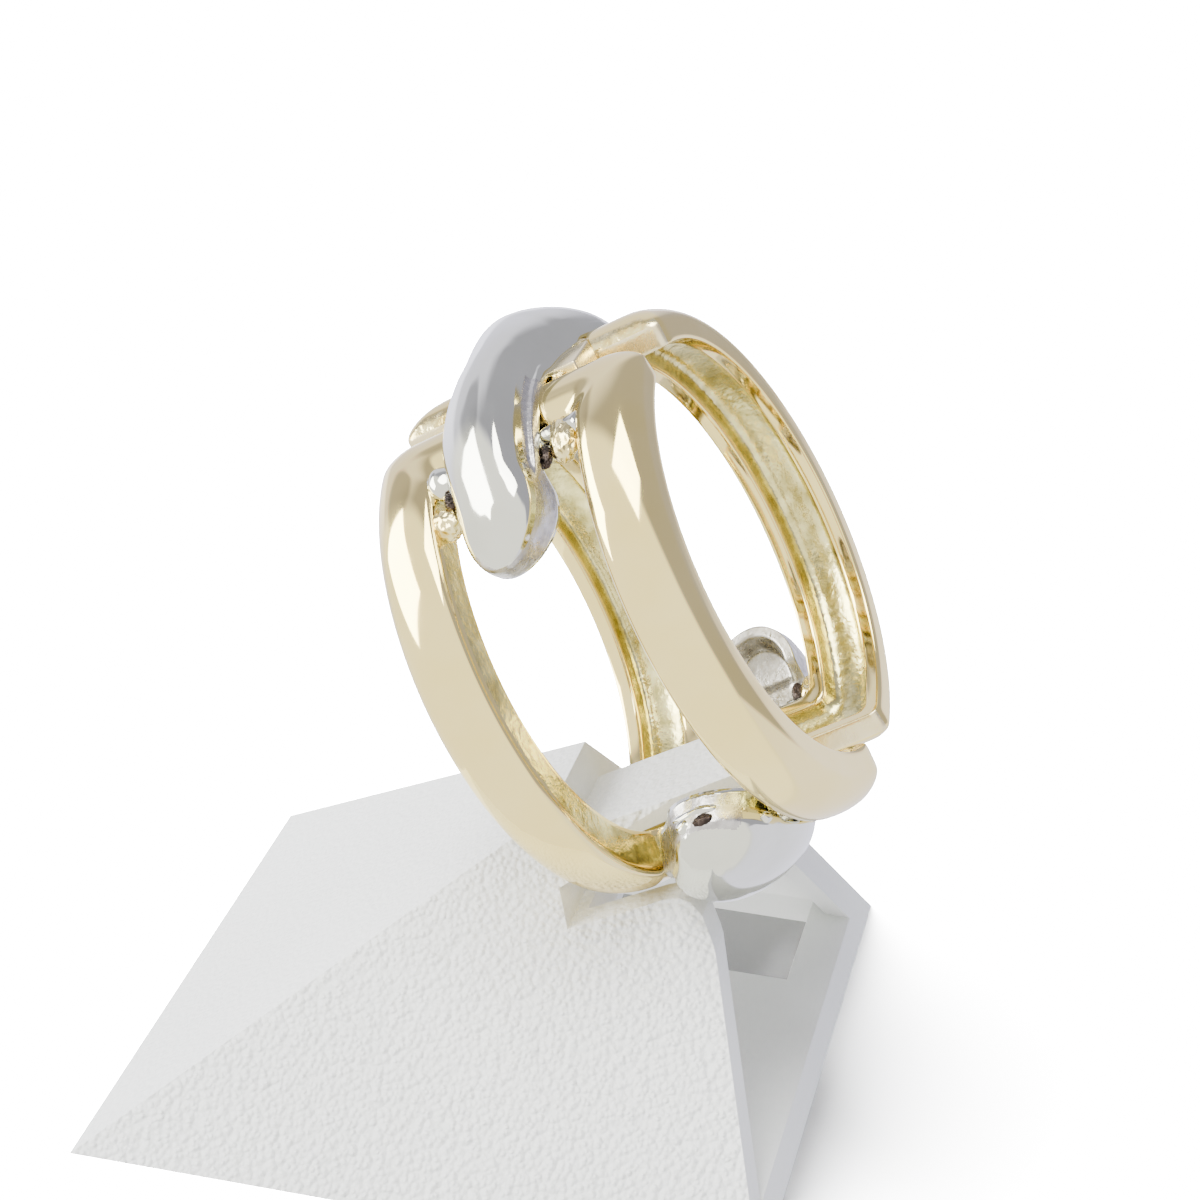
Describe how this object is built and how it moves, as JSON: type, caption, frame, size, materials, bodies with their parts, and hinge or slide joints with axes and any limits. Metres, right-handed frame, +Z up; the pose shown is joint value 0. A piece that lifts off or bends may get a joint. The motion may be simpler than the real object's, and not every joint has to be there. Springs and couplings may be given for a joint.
{
  "type": "two-tone gold ring on a display stand",
  "caption": "Finger ring of open bent links in yellow gold joined by S-shaped white-gold connectors, leaning on the tongue of a small hollow pyramid display stand.",
  "frame": {"origin": "centre of the stand's square base, on the surface it stands on", "axes": "+Z up; +X towards the stand's steep, open side; +Y towards the back, so the picture looks along +Y and a little down"},
  "size_m": [0.0297, 0.0282, 0.0325],
  "materials": {
    "gold": "polished pale yellow gold",
    "white_gold": "polished white gold",
    "stand": "off-white, pebbled outside"
  },
  "bodies": {
    "root": {"link_front": "gold", "link_back": "gold", "connector_top": "white_gold", "connector_bottom": "white_gold", "bridge_top": "gold", "bridge_bottom": "gold", "stand": "stand"}
  },
  "joints": []
}
